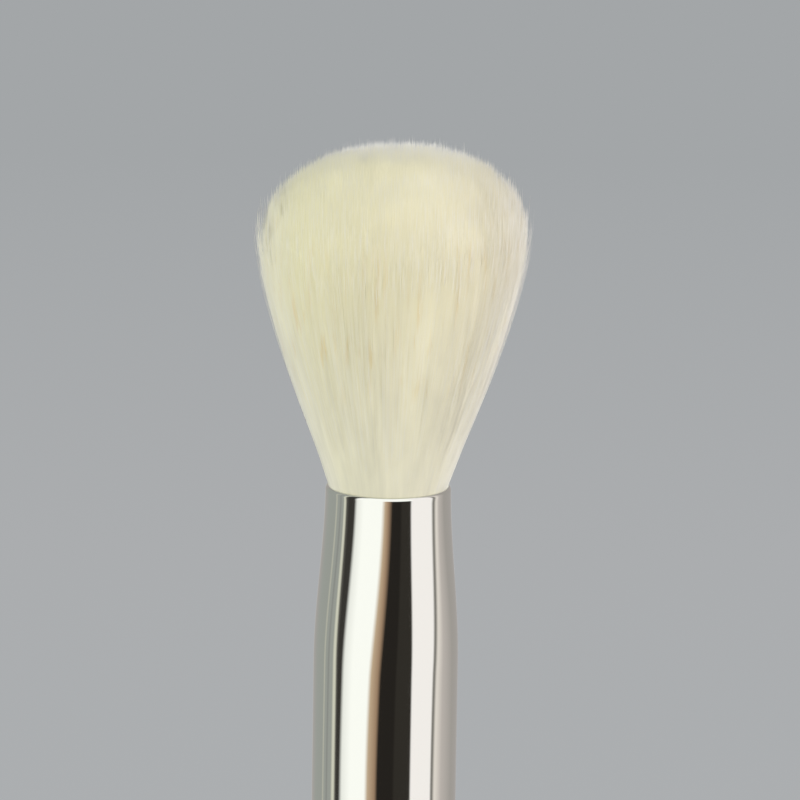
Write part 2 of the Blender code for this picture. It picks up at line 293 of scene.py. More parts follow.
# %% World and lamps
HORIZON_FILL = 0.37
ZENITH_FILL = 0.46
LAMP_AIM = Vector((0, 0, 0.155))
LAMPS = {
    "left_lamp": ((-1.08, -0.54, 0.40), 0.7, 8.5, (1.0, 1.0, 0.95)),
    "right_lamp": ((1.08, -0.54, 0.40), 0.7, 7.2, (1.0, 0.94, 0.95)),
    "top_lamp": ((0.0, 0.60, 1.10), 2.0, 9.7, (0.97, 0.98, 1.0)),
    "left_back_lamp": ((-0.85, 0.60, 0.75), 0.7, 4.0, (0.90, 0.95, 1.0)),
    "right_back_lamp": ((0.85, 0.60, 0.75), 0.7, 3.0, (0.90, 0.93, 1.0)),
}

world = bpy.data.worlds.new("studio")
bpy.context.scene.world = world
world.use_nodes = True
tree = world.node_tree
tree.nodes.clear()
wall = add_node(tree, "ShaderNodeBackground", inputs={"Color": (*FAR_GREY, 1)})
direction = add_node(tree, "ShaderNodeTexCoord").outputs["Generated"]
climb = add_node(tree, "ShaderNodeSeparateXYZ", inputs={"Vector": direction}).outputs["Z"]
level = varied(tree, climb, HORIZON_FILL, ZENITH_FILL)
fill = add_node(tree, "ShaderNodeBackground", inputs={"Color": (1, 1, 1, 1), "Strength": level})
both = add_node(
    tree,
    "ShaderNodeMixShader",
    inputs={0: seen_directly(tree), 1: fill.outputs[0], 2: wall.outputs[0]},
)
output = add_node(tree, "ShaderNodeOutputWorld")
tree.links.new(both.outputs[0], output.inputs["Surface"])

for name, (spot, size, power, colour) in LAMPS.items():
    lamp_data = bpy.data.lights.new(name, "AREA")
    lamp_data.size = size
    lamp_data.energy = power
    lamp_data.color = colour
    lamp = placed(name, lamp_data)
    lamp.location = spot
    lamp.rotation_mode = "QUATERNION"
    lamp.rotation_quaternion = (LAMP_AIM - Vector(spot)).to_track_quat("-Z", "Y")
    lamp.visible_camera = False
    lamp.visible_glossy = False
    print(f"{name}: {power} W")

# %% [markdown]
# ## Reflectors
# A polished tube shows nothing of its own, only what stands round it. Product photographers
# therefore place white, grey and black cards. Separate cards would each need a place and a
# tilt, so one ring carries all of them here, as colours on its vertices. The ring glows with
# these colours by itself, though it is no lamp: they are painted reflections for the tube to
# mirror. Each row of the list is an edge between two shades, with its angle at the foot of the
# part that the tube mirrors, its angle at the top of it, and its shade. Angles count from the
# front. Above the cards, the front of the ring glows white, a painted highlight for the rolled
# lip of the tube to mirror. The ring is seen only in mirror-bright surfaces.

# %% Shades of the cards
EDGE_GREY = (0.43, 0.405, 0.40)
BACKDROP = (0.39, 0.41, 0.40)
BACK_LINE = (0.30, 0.31, 0.31)
PALE = (0.60, 0.60, 0.53)
PALE_LINE = (0.78, 0.78, 0.68)
DARK_GREY = (0.110, 0.105, 0.100)
DARK = (0.048, 0.045, 0.042)
SOFT_WHITE = (1.04, 1.06, 1.06)
WHITE = (1.24, 1.26, 1.27)
TAN = (0.64, 0.48, 0.34)
DEEP_TAN = (0.42, 0.28, 0.19)
BLACK = (0.023, 0.020, 0.018)
SOFT_BLACK = (0.037, 0.033, 0.029)
PINK_WHITE = (1.14, 1.10, 1.14)
GREY_LINE = (0.25, 0.24, 0.23)
PINK_LINE = (0.90, 0.84, 0.82)
PINK_GREY = (0.61, 0.56, 0.56)
print(f"from {max(BLACK):.3f} to {max(WHITE):.2f} of full white")

# %% Edges of the cards
CARD_EDGES = [
    (-180, -180, DARK),
    (-174, -174, DARK),
    (-169, -169, DARK_GREY),
    (-167, -167, PALE),
    (-152, -152, EDGE_GREY),
    (-125, -125, BACKDROP),
    (-106, -101, BACKDROP),
    (-104, -98, PALE),
    (-101, -95, BACKDROP),
    (-97, -90, BACKDROP),
    (-94.5, -87.5, BACK_LINE),
    (-91.5, -84, BACKDROP),
    (-85, -80.5, BACKDROP),
    (-81.5, -78.5, PALE_LINE),
    (-79, -76.5, PALE_LINE),
    (-75.5, -73, DARK_GREY),
    (-73, -68, DARK),
    (-69, -57.5, DARK),
    (-63.5, -52, SOFT_WHITE),
    (-50, -40, WHITE),
    (-28, -10, WHITE),
    (-23, -4, TAN),
    (-13.5, 1, DEEP_TAN),
    (-9.5, 7.5, BLACK),
    (11.5, 20.5, BLACK),
    (14.5, 23.5, SOFT_BLACK),
    (36, 36.8, SOFT_BLACK),
    (38.6, 39.8, PINK_WHITE),
    (69.5, 78, PINK_WHITE),
    (72.3, 82.5, GREY_LINE),
    (74.3, 84.5, GREY_LINE),
    (78.5, 89.5, PINK_LINE),
    (81, 92, PINK_LINE),
    (93, 97, PINK_GREY),
    (121, 112, EDGE_GREY),
    (161, 161, EDGE_GREY),
    (164, 164, SOFT_WHITE),
    (177, 177, SOFT_WHITE),
    (179, 179, DARK),
    (180, 180, DARK),
]
print(f"{len(CARD_EDGES)} edges")

# %% Columns of the ring
# Over this span the ring glows white above the cards: a painted highlight for the rolled lip.
GLOW_SPAN = (-56, 42)
WIDEST_STEP = math.radians(6)


def ring_columns():
    """The ring's columns: the angles at foot and top, and the light at and above the cards."""
    columns = []
    for before, after in zip(CARD_EDGES, CARD_EDGES[1:]):
        width = math.radians(max(after[0] - before[0], after[1] - before[1]))
        for share in evenly(0.0, 1.0, max(math.ceil(width / WIDEST_STEP), 1))[:-1]:
            foot, top = blend(before[0], after[0], share), blend(before[1], after[1], share)
            colour = [blend(a, b, share) for a, b in zip(before[2], after[2])]
            above = WHITE if GLOW_SPAN[0] < top < GLOW_SPAN[1] else colour
            columns.append((math.radians(foot), math.radians(top), colour, above))
    return columns


columns = ring_columns()
print(f"reflector ring: {len(columns)} columns")

# %% Reflector ring
RING_RADIUS = 30 * MM
CARD_FOOT = 105 * MM
CARD_TOP = 136 * MM
CARD_ROWS = 12
CARD_BEND = 1.8
CARD_END = 144.4 * MM
GLOW_HEIGHTS = (146.3 * MM, 360 * MM)

shares = evenly(0.0, 1.0, CARD_ROWS)
heights = [0.0] + [blend(CARD_FOOT, CARD_TOP, share) for share in shares]
heights += [CARD_END, *GLOW_HEIGHTS]
bends = [0.0] + [share**CARD_BEND for share in shares] + [1.0] * (1 + len(GLOW_HEIGHTS))
rows = len(heights)
points = []
for foot, top, *_ in columns:
    for height, bend in zip(heights, bends):
        angle = blend(foot, top, bend)
        points.append((RING_RADIUS * math.sin(angle), -RING_RADIUS * math.cos(angle), height))
faces = []
for i in range(len(columns)):
    j = (i + 1) % len(columns)
    for k in range(rows - 1):
        faces.append((i * rows + k, j * rows + k, j * rows + k + 1, i * rows + k + 1))
ring_mesh = bpy.data.meshes.new("glowing_reflection_ring")
ring_mesh.from_pydata(points, [], faces)
lights = ring_mesh.attributes.new("light", "FLOAT_COLOR", "POINT")
shades = []
for *_, colour, above in columns:
    shades += [(*colour, 1)] * (rows - len(GLOW_HEIGHTS)) + [(*above, 1)] * len(GLOW_HEIGHTS)
lights.data.foreach_set("color", np.array(shades).ravel())
ring = placed("glowing_reflection_ring", ring_mesh)
# The ring glows with its painted reflections, as emission from the colours on its vertices.
ring_material, tree, output = new_material("card_light")
light = add_node(tree, "ShaderNodeAttribute", {"attribute_name": "light"})
glow = add_node(tree, "ShaderNodeEmission", inputs={"Color": light.outputs["Color"]})
tree.links.new(glow.outputs[0], output.inputs["Surface"])
ring_mesh.materials.append(ring_material)
for kind in ("camera", "diffuse", "transmission", "volume_scatter", "shadow"):
    setattr(ring, "visible_" + kind, False)
ring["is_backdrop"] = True
print(f"reflector ring: {len(faces)} faces")

# %% [markdown]
# ## Turned pieces
# The ferrule is spun from a metal tube and the handle is turned on a lathe. Cylinders could be
# pushed into these shapes, but a profile says the same in a few numbers, so one helper makes
# both pieces: it takes a profile of (radius, height) pairs and carries it round the axis in
# many small steps, fine enough for mirror-bright reflections. Another one fills in the faces
# from line to line. Points that meet on the axis are merged, and the faces are turned outwards.

# %% Lathe
TURN_STEPS = 224
MERGE_DISTANCE = 1e-7
CREASE = math.radians(35)


def skinned_piece(name, lines, material, closed=False):
    """A piece with faces between lines of points that stand round the axis, on its body."""
    shape = bmesh.new()
    lines = [[shape.verts.new(point) for point in line] for line in lines]
    for line, after in zip(lines, lines[1:] + lines[:1]):
        for k in range(len(line) if closed else len(line) - 1):
            m = (k + 1) % len(line)
            shape.faces.new((line[k], after[k], after[m], line[m]))
    bmesh.ops.remove_doubles(shape, verts=shape.verts, dist=MERGE_DISTANCE)
    bmesh.ops.recalc_face_normals(shape, faces=shape.faces)
    mesh = bpy.data.meshes.new(name)
    shape.to_mesh(mesh)
    shape.free()
    mesh.materials.append(material)
    mesh.shade_smooth()
    piece = placed(name, mesh)
    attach(piece, BODY)
    print(f"{name}: {len(mesh.polygons)} faces")
    return piece


def turned_piece(name, profile, material, closed=False):
    """A piece turned from a profile, with crisp edges."""
    lines = []
    for step in range(TURN_STEPS):
        angle = 2 * math.pi * step / TURN_STEPS
        lines.append([(r * math.cos(angle), r * math.sin(angle), z) for r, z in profile])
    piece = skinned_piece(name, lines, material, closed)
    piece.data.set_sharp_from_angle(angle=CREASE)
    return piece


# %% [markdown]
# ## Nickel plate
# Nickel is a warm, very slightly yellow metal. Real plating is not a perfect mirror: it has
# a faint haze in patches and fine lines from polishing, which run round the tube. An image of
# them would need a seam, so both are noise on the piece's own coordinates, squeezed along the
# axis for the lines.

# %% Nickel
NICKEL = from_screen(227, 227, 218)
HAZE_WAVES = (180, 180, 90)
HAZE_ROUGHNESS = (0.045, 0.085)
POLISH_WAVES = (60, 60, 5200)
POLISH_DETAIL = 3.0
POLISH_STRENGTH = 0.05
POLISH_DEPTH = 0.004 * MM


def noise_at(tree, spot, detail=2.0):
    """Noise at a spot, with a wave for every unit."""
    inputs = {"Vector": spot, "Scale": 1.0, "Detail": detail}
    return add_node(tree, "ShaderNodeTexNoise", inputs=inputs).outputs["Fac"]


def stretched_noise(tree, waves, detail=2.0):
    """Noise on the object's coordinates, with its number of waves a metre along each axis."""
    place = add_node(tree, "ShaderNodeTexCoord").outputs["Object"]
    spread = add_node(tree, "ShaderNodeMapping", inputs={"Vector": place, "Scale": waves})
    return noise_at(tree, spread.outputs["Vector"], detail)


nickel, tree, output = new_material("nickel_plate")
haze = stretched_noise(tree, HAZE_WAVES)
polish_lines = stretched_noise(tree, POLISH_WAVES, POLISH_DETAIL)
plate = {
    "Base Color": (*NICKEL, 1),
    "Metallic": 1.0,
    "Roughness": varied(tree, haze, *HAZE_ROUGHNESS),
    "Normal": bumped(tree, polish_lines, POLISH_STRENGTH, POLISH_DEPTH),
}
end_material(tree, output, plate)
print(f"nickel plate, with a roughness from {HAZE_ROUGHNESS[0]} to {HAZE_ROUGHNESS[1]}")

# %% [markdown]
# ## Ferrule
# The ferrule is one thin tube: narrow at the mouth, widening into a straight barrel, and
# drawn in over the tenon with two crimps that grip it. Its mouth is rolled to a small round
# lip, so that it can't cut the hair. A modifier could thicken a single wall, but a full
# profile, down the outside and up the inside, gives the lip and the foot rounds of their own.

# %% Shape of the ferrule
FERRULE_WALL = 0.45 * MM
MOUTH_RADIUS = 6.30 * MM
BARREL_RADIUS = 7.28 * MM
END_RADIUS = 6.90 * MM
FLARE_LENGTH = 18 * MM
END_TAPER_LENGTH = 14 * MM
CRIMP_DEPTH = 0.35 * MM
CRIMP_WIDTH = 1.6 * MM
CRIMP_MIDDLES = [FERRULE_FOOT + 4.5 * MM, FERRULE_FOOT + 7.9 * MM]


def crimp_bite(height):
    """How far a crimp presses the wall in at a height."""
    bite = 0.0
    for middle in CRIMP_MIDDLES:
        share = (height - middle) / CRIMP_WIDTH
        if abs(share) < 0.5:
            bite += CRIMP_DEPTH * (1 + math.cos(2 * math.pi * share)) / 2
    return bite


def ferrule_radius(height):
    """The ferrule's outer radius at a height."""
    flare = smooth((MOUTH_HEIGHT - height) / FLARE_LENGTH)
    end_taper = smooth((FERRULE_FOOT + END_TAPER_LENGTH - height) / END_TAPER_LENGTH)
    widened = blend(MOUTH_RADIUS, BARREL_RADIUS, flare)
    return widened - (BARREL_RADIUS - END_RADIUS) * end_taper - crimp_bite(height)


print(f"barrel {2 * ferrule_radius(MOUTH_HEIGHT - FLARE_LENGTH) / MM:.2f} mm across")

# %% Ferrule
LIP_OUTSIDE = 0.30 * MM
LIP_DROP = 0.45 * MM
LIP_INSIDE = 0.13 * MM
LIP_STATIONS = 8
FERRULE_STATIONS = 150


def arc(radius, height, size, start, end):
    """Points of a round edge, with angles in degrees counted from straight out."""
    points = []
    for angle in evenly(math.radians(start), math.radians(end), LIP_STATIONS):
        points.append((radius + size * math.cos(angle), height + size * math.sin(angle)))
    return points


top, foot = MOUTH_HEIGHT - LIP_DROP, FERRULE_FOOT + LIP_INSIDE
heights = evenly(top, foot, FERRULE_STATIONS)
profile = []
for angle in evenly(math.pi / 2, 0, LIP_STATIONS)[:-1]:
    radius = ferrule_radius(top) - LIP_OUTSIDE * (1 - math.cos(angle))
    profile.append((radius, top + LIP_DROP * math.sin(angle)))
profile += [(ferrule_radius(height), height) for height in heights]
profile += arc(ferrule_radius(foot) - LIP_INSIDE, foot, LIP_INSIDE, 0, -90)[1:]
profile += arc(ferrule_radius(foot) - FERRULE_WALL + LIP_INSIDE, foot, LIP_INSIDE, -90, -180)
inner_top = MOUTH_HEIGHT - LIP_INSIDE
inside = [(ferrule_radius(z) - FERRULE_WALL, z) for z in evenly(foot, inner_top, FERRULE_STATIONS)]
profile += inside[1:]
inner_lip = ferrule_radius(inner_top) - FERRULE_WALL + LIP_INSIDE
profile += arc(inner_lip, inner_top, LIP_INSIDE, 180, 90)[1:-1]
ferrule = turned_piece("ferrule_shell", profile, nickel, closed=True)
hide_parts("ferrule")

# %% [markdown]
# ## Lacquered handle
# The handle is turned from a close-grained wood and dipped in black lacquer. The lacquer is
# thick and glossy, yet it follows the grain a little, and it pools in soft waves. A relief this
# faint would take millions of faces in the mesh, so it stays in the shading: noise stretched
# along the handle, a few thousandths of a millimetre deep, under a clear coat.

# %% Black lacquer
DEEP_BLACK = (0.010, 0.009, 0.010)
WARM_BLACK = (0.018, 0.015, 0.014)
GRAIN_WAVES = (900, 900, 40)
GRAIN_DETAIL = 4.0
POOL_WAVES = (120, 120, 60)
POOL_DETAIL = 1.0
POOL_WEIGHT = 3.0
POOL_ROUGHNESS = (0.10, 0.18)
LACQUER_STRENGTH = 0.12
LACQUER_DEPTH = 0.02 * MM

lacquer, tree, output = new_material("black_lacquer")
grain = stretched_noise(tree, GRAIN_WAVES, GRAIN_DETAIL)
pooling = stretched_noise(tree, POOL_WAVES, POOL_DETAIL)
relief = math_node(tree, "ADD", grain, math_node(tree, "MULTIPLY", pooling, POOL_WEIGHT))
coat = {
    "Base Color": mixed(tree, grain, (*DEEP_BLACK, 1), (*WARM_BLACK, 1)),
    "Roughness": varied(tree, pooling, *POOL_ROUGHNESS),
    "Coat Weight": 0.6,
    "Coat Roughness": 0.04,
    "Normal": bumped(tree, relief, LACQUER_STRENGTH, LACQUER_DEPTH),
}
end_material(tree, output, coat)
print(f"lacquer, with a roughness from {POOL_ROUGHNESS[0]} to {POOL_ROUGHNESS[1]}")

# %% Handle
HANDLE_LENGTH = 95 * MM
BUTT_RADIUS = 3.4 * MM
BUTT_FLAT_RADIUS = 2.2 * MM
BUTT_ROUND_HEIGHT = 2.6 * MM
BELLY_RADIUS = 7.4 * MM
BELLY_HEIGHT = 79 * MM
SHOULDER_ROUND = 0.4 * MM
TENON_CHAMFER = 0.8 * MM
CLEARANCE = 0.3 * MM
TENON_RADIUS = END_RADIUS - FERRULE_WALL - CLEARANCE
GLUE_GROOVE_DEPTH = 0.9 * MM
GLUE_GROOVE_WIDTH = 4.6 * MM
GLUE_DROP = 3 * MM
HANDLE_STATIONS = 120
CRIMP_STATIONS = 24
BUTT_STATIONS = 16


def handle_radius(height):
    """The handle's radius: slender at the butt, with a belly below the ferrule."""
    if height < BELLY_HEIGHT:
        return blend(BUTT_RADIUS, BELLY_RADIUS, smooth(height / BELLY_HEIGHT))
    fall = smooth((height - BELLY_HEIGHT) / (HANDLE_LENGTH - BELLY_HEIGHT))
    return blend(BELLY_RADIUS, END_RADIUS, fall)


groove_top = TENON_TOP - GLUE_DROP
groove_foot = groove_top - GLUE_GROOVE_WIDTH
groove_radius = TENON_RADIUS - GLUE_GROOVE_DEPTH
profile = [
    (0.0, TENON_TOP),
    (TENON_RADIUS - TENON_CHAMFER, TENON_TOP),
    (TENON_RADIUS, TENON_TOP - TENON_CHAMFER),
    (TENON_RADIUS, groove_top),
    (groove_radius, groove_top),
    (groove_radius, groove_foot),
    (TENON_RADIUS, groove_foot),
]
for middle in reversed(CRIMP_MIDDLES):
    for height in evenly(middle + CRIMP_WIDTH / 2, middle - CRIMP_WIDTH / 2, CRIMP_STATIONS):
        profile.append((TENON_RADIUS - crimp_bite(height), height))
profile.append((TENON_RADIUS, HANDLE_LENGTH))
below_shoulder = HANDLE_LENGTH - SHOULDER_ROUND
profile += arc(END_RADIUS - SHOULDER_ROUND, below_shoulder, SHOULDER_ROUND, 90, 0)
heights = evenly(below_shoulder, BUTT_ROUND_HEIGHT, HANDLE_STATIONS)[1:]
profile += [(handle_radius(height), height) for height in heights]
for angle in evenly(math.pi / 2, 0, BUTT_STATIONS)[1:]:
    radius = blend(BUTT_FLAT_RADIUS, handle_radius(BUTT_ROUND_HEIGHT), math.sin(angle))
    profile.append((radius, BUTT_ROUND_HEIGHT * (1 - math.cos(angle))))
profile.append((0.0, 0.0))
handle = turned_piece("handle_lacquered", profile, lacquer)
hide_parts("handle")

# %% [markdown]
# ## Resin and glue
# The hair is held by a plug of clear resin inside the ferrule, and a ring of glue holds the
# ferrule on the tenon. Both are out of sight in the finished brush, but they are part of it.
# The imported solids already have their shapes, so they only get materials: amber resin with
# faint clouds, and pale glue with a fine grain. The cotton of the thread is mixed in the same
# way.

# %% Materials inside the ferrule
MOTTLE_DETAIL = 3.0
MOTTLE_DEPTH = 0.05 * MM


def mottled(name, dark, light, waves, roughness, relief):
    """A material whose colour and surface vary with noise."""
    material, tree, output = new_material(name)
    clouds = stretched_noise(tree, (waves, waves, waves), MOTTLE_DETAIL)
    surface = {
        "Base Color": mixed(tree, clouds, (*dark, 1), (*light, 1)),
        "Roughness": roughness,
        "Normal": bumped(tree, clouds, relief, MOTTLE_DEPTH),
    }
    end_material(tree, output, surface)
    return material


AMBER = {"dark": (0.44, 0.27, 0.09), "light": (0.66, 0.46, 0.20)}
PALE_GLUE = {"dark": (0.60, 0.54, 0.42), "light": (0.76, 0.71, 0.60)}
COTTON_WHITE = {"dark": (0.72, 0.70, 0.64), "light": (0.86, 0.85, 0.81)}
resin = mottled("clear_resin", **AMBER, waves=400, roughness=0.18, relief=0.1)
glue = mottled("tenon_glue", **PALE_GLUE, waves=900, roughness=0.4, relief=0.4)
cotton = mottled("cotton_thread", **COTTON_WHITE, waves=5000, roughness=0.85, relief=0.8)
for node_name, material in (("resin_plug", resin), ("tenon_glue", glue)):
    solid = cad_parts[node_name]
    for material_slot in solid.material_slots:
        material_slot.material = material
    print(f"{node_name}: {len(solid.data.polygons)} faces")

# %% [markdown]
# ## Top slice of the resin
# The roots of the hair end in the top slice of the resin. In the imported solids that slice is
# part of the hair bundle, so it is made again here, under the hair that replaces the bundle.

# %% Resin slice
RESIN_DEPTH = 4 * MM
RESIN_SLICE = 1 * MM
slice_top = MOUTH_HEIGHT - RESIN_DEPTH
slice_radius = ferrule_radius(slice_top) - FERRULE_WALL - CLEARANCE
profile = [(0.0, slice_top), (slice_radius, slice_top)]
profile += [(slice_radius, slice_top - RESIN_SLICE), (0.0, slice_top - RESIN_SLICE)]
resin_disc = turned_piece("resin_slice", profile, resin)
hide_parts("hair_tuft")

# %% [markdown]
# ## Thread
# Before the hair is set in resin it is tied with a few turns of cotton thread. A stack of
# rings would be simpler, but a real thread climbs without a break, so Geometry Nodes draw a
# spiral from a radius, a height and a number of turns, and sweep a small circle along it.


# %% Geometry Nodes helpers
def new_shape_tree(name, inputs):
    """A Geometry Nodes tree with named inputs, and the sockets that they arrive at."""
    tree = bpy.data.node_groups.new(name, "GeometryNodeTree")
    tree.is_modifier = True
    tree.interface.new_socket("Geometry", in_out="INPUT", socket_type="NodeSocketGeometry")
    tree.interface.new_socket("Geometry", in_out="OUTPUT", socket_type="NodeSocketGeometry")
    for label, kind in inputs.items():
        tree.interface.new_socket(label, in_out="INPUT", socket_type="NodeSocket" + kind)
    entry = add_node(tree, "NodeGroupInput")
    return tree, entry.outputs


def end_shape_tree(tree, shape, material):
    """Ends a tree with real geometry that carries its material."""
    real = add_node(tree, "GeometryNodeRealizeInstances", inputs={"Geometry": shape})
    worn = add_node(
        tree,
        "GeometryNodeSetMaterial",
        inputs={"Geometry": real.outputs[0], "Material": material},
    )
    add_node(tree, "NodeGroupOutput", inputs={0: worn.outputs[0]})


def grown_piece(name, tree, values, source):
    """A plain mesh made by a tree from a source mesh, riding on the brush's body."""
    piece = placed(name, source)
    growth = piece.modifiers.new("growth", "NODES")
    growth.node_group = tree
    for item in tree.interface.items_tree:
        if item.item_type == "SOCKET" and item.in_out == "INPUT" and item.name in values:
            growth[item.identifier] = values[item.name]
    graph = bpy.context.evaluated_depsgraph_get()
    mesh = bpy.data.meshes.new_from_object(piece.evaluated_get(graph))
    piece.modifiers.clear()
    piece.data = mesh
    mesh.name = name
    bpy.data.meshes.remove(source)
    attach(piece, BODY)
    mesh.calc_loop_triangles()
    print(f"{name}: {len(mesh.loop_triangles)} triangles")
    return piece


# %% Thread winding
THREAD_DIAMETER = 0.5 * MM
THREAD_TURNS = 6
STEPS_A_TURN = 48
THREAD_SIDES = 10
thread_low, thread_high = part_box("binding_thread")

thread_inputs = {"Radius": "Float", "Height": "Float", "Foot": "Vector", "Thread": "Float"}
tree, given = new_shape_tree("thread_winding", {**thread_inputs, "Finish": "Material"})
spiral = add_node(
    tree,
    "GeometryNodeCurveSpiral",
    inputs={
        "Resolution": STEPS_A_TURN,
        "Rotations": float(THREAD_TURNS - 1),
        "Start Radius": given["Radius"],
        "End Radius": given["Radius"],
        "Height": given["Height"],
    },
)
raised = add_node(
    tree,
    "GeometryNodeTransform",
    inputs={"Geometry": spiral.outputs[0], "Translation": given["Foot"]},
)
section = add_node(
    tree,
    "GeometryNodeCurvePrimitiveCircle",
    inputs={"Resolution": THREAD_SIDES, "Radius": given["Thread"]},
)
swept = add_node(
    tree,
    "GeometryNodeCurveToMesh",
    inputs={"Curve": raised.outputs[0], "Profile Curve": section.outputs[0], "Fill Caps": True},
)
end_shape_tree(tree, swept.outputs[0], given["Finish"])
thread = grown_piece(
    "thread_winding",
    tree,
    {
        "Radius": thread_high[0] - THREAD_DIAMETER / 2,
        "Height": thread_high[2] - thread_low[2] - THREAD_DIAMETER,
        "Foot": (0.0, 0.0, thread_low[2] + THREAD_DIAMETER / 2),
        "Thread": THREAD_DIAMETER / 2,
        "Finish": cotton,
    },
    bpy.data.meshes.new("thread_source"),
)
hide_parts("binding_thread")

# %% [markdown]
# ## The shape of the hair
# A dressed bundle of goat hair leaves the mouth round, swells to an oval, and ends on a dome
# that slants up towards the back. Every hair has a fixed place in the bundle, given as a point
# in a disc of radius 1: its place is scaled up as the bundle swells, which is how real hairs
# fan out. The hair also bulges a little over the lip of the ferrule.

# %% Hair bundle
HAIR_LENGTH = 33.6 * MM
HAIR_HALF_WIDTH = 13.7 * MM
HAIR_HALF_DEPTH = 11.8 * MM
HAIR_BELLY_HEIGHT = 26.2 * MM
HAIR_MOUTH_RADIUS = 5.55 * MM
ROOT_SHARE = 0.93
SWELL_POWER = 1.45
SLANT_RISE = 5 * MM
DOME_RISE = 7.4 * MM
CROWN_POWER = 2.4
SLANT_HEADING = math.radians(15)
FRONT_START = 0.6
FRONT_DROP = 2.0 * MM
LIP_FILL = 0.27 * MM
LIP_FILL_FADE = 3 * MM
LIP_BULGE = 0.15 * MM
LIP_BULGE_HEIGHT = 0.8 * MM
NEAR_MIDDLE = 0.01


def bundle_reach(height, half):
    """The bundle's reach from its middle at a height over the mouth."""
    if height < 0:
        root = blend(1.0, ROOT_SHARE, -height / (RESIN_DEPTH + RESIN_SLICE))
        return (HAIR_MOUTH_RADIUS + LIP_FILL) * root
    swell = 1 - max(1 - height / HAIR_BELLY_HEIGHT, 0.0) ** SWELL_POWER
    rise = height / LIP_BULGE_HEIGHT
    fill = LIP_FILL * math.exp(-height / LIP_FILL_FADE)
    return blend(HAIR_MOUTH_RADIUS, half, swell) + fill + LIP_BULGE * rise * math.exp(1 - rise)


def tip_height(across, back):
    """How high over the mouth the hair at a place in the bundle ends."""
    uphill = across * math.sin(SLANT_HEADING) + back * math.cos(SLANT_HEADING)
    out = np.hypot(across, back)
    crown = np.sqrt(np.maximum(1 - out**CROWN_POWER, 0.0))
    crest = math.hypot(SLANT_RISE / 2, DOME_RISE)
    outer = np.maximum((out - FRONT_START) / (1 - FRONT_START), 0.0)
    rounded = FRONT_DROP * outer**2 * np.maximum(-back / np.maximum(out, NEAR_MIDDLE), 0.0)
    return HAIR_LENGTH - crest + uphill * SLANT_RISE / 2 + crown * DOME_RISE - rounded


for height in evenly(0.0, HAIR_BELLY_HEIGHT, 4):
    reach = bundle_reach(height, HAIR_HALF_WIDTH)
    print(f"{height / MM:.1f} mm up: half width {reach / MM:.2f} mm")

# %% [markdown]
# ## Colour of goat hair
# Undyed goat hair is cream, a little more yellow at the ends and paler near the ferrule.
# Towards the right it turns pink, and at the sides and the back it turns whiter: painted light,
# the pink light from that side and the light that shines through the thin hair at the outline.
# Soft light and dark streaks run along the outer hair, partly the hair's own tone and partly
# painted shade and light of the grooves between locks, and a few of them are ochre. Hairs below
# the surface are a little darker and more ochre, which is painted shade. In one plain colour the
# hairs would melt together like wax. So the colour changes with the object's coordinates and
# with each hair's place in the bundle, and each hair also carries a number that sets its tone
# a little apart.

# %% Goat hair
CREAM = (0.96, 0.93, 0.62)
PINK_LIT_CREAM = (0.96, 0.90, 0.68)
ROOT_CREAM = (0.93, 0.90, 0.70)
FRINGE_WHITE = (0.96, 0.96, 0.95)
FULL_CREAM_HEIGHT = 0.7 * HAIR_LENGTH
OCHRE = (0.90, 0.76, 0.42)
OCHRE_SHARE = 0.85
OCHRE_RANGE = (0.57, 0.73)
OCHRE_HEIGHTS = (0.35, 0.65)
OCHRE_SEED = 5.0
OCHRE_FINENESS = 1.7
DEPTH_SHADE_OCHRE_SHARE = 0.15
STREAKS_ROUND = 2.5
STREAKS_ACROSS = 620.0
STREAKS_UP = 110.0
STREAK_DEPTH = (0.26, 0.15)
STREAK_START = (0.80, 0.96)
STREAK_SEED = 2.0
NOISE_MIDDLE = 0.5
RIM_LIGHT_PALENESS = 0.35
RIM_LIGHT_START = 0.72
BACK_RIM_LIGHT_STRETCH = 1.25


def hair_value(tree, name, output="Fac"):
    """What each hair carries under a name."""
    return add_node(tree, "ShaderNodeAttribute", {"attribute_name": name}).outputs[output]


def hair_streaks(tree, place, seed, fineness=1.0):
    """Soft noise that runs along the hair, the same for hairs that lie over one another."""
    across = hair_value(tree, "place", "Vector")
    direction = vector_node(tree, "NORMALIZE", across)
    spread = vector_node(tree, "MULTIPLY", direction, (STREAKS_ROUND, STREAKS_ROUND, 0.0))
    waves = STREAKS_ACROSS * fineness
    straight = vector_node(tree, "MULTIPLY", place, (waves, waves, STREAKS_UP))
    spot = vector_node(tree, "ADD", spread, straight)
    spot = vector_node(tree, "ADD", spot, (seed, seed, seed))
    return noise_at(tree, spot), mapped(tree, vector_node(tree, "LENGTH", across), *STREAK_START)


def painted_rim_light(tree):
    """How far a hair lies towards the sides and the back, where white is mixed in as painted rim
    light.
    """
    across = hair_value(tree, "place", "Vector")
    across = vector_node(tree, "MULTIPLY", across, (1.0, BACK_RIM_LIGHT_STRETCH, 0.0))
    reach = vector_node(tree, "MAXIMUM", across, (-1.0, 0.0, 0.0))
    far = mapped(tree, vector_node(tree, "LENGTH", reach), RIM_LIGHT_START, 1.0)
    return math_node(tree, "MULTIPLY", far, RIM_LIGHT_PALENESS)


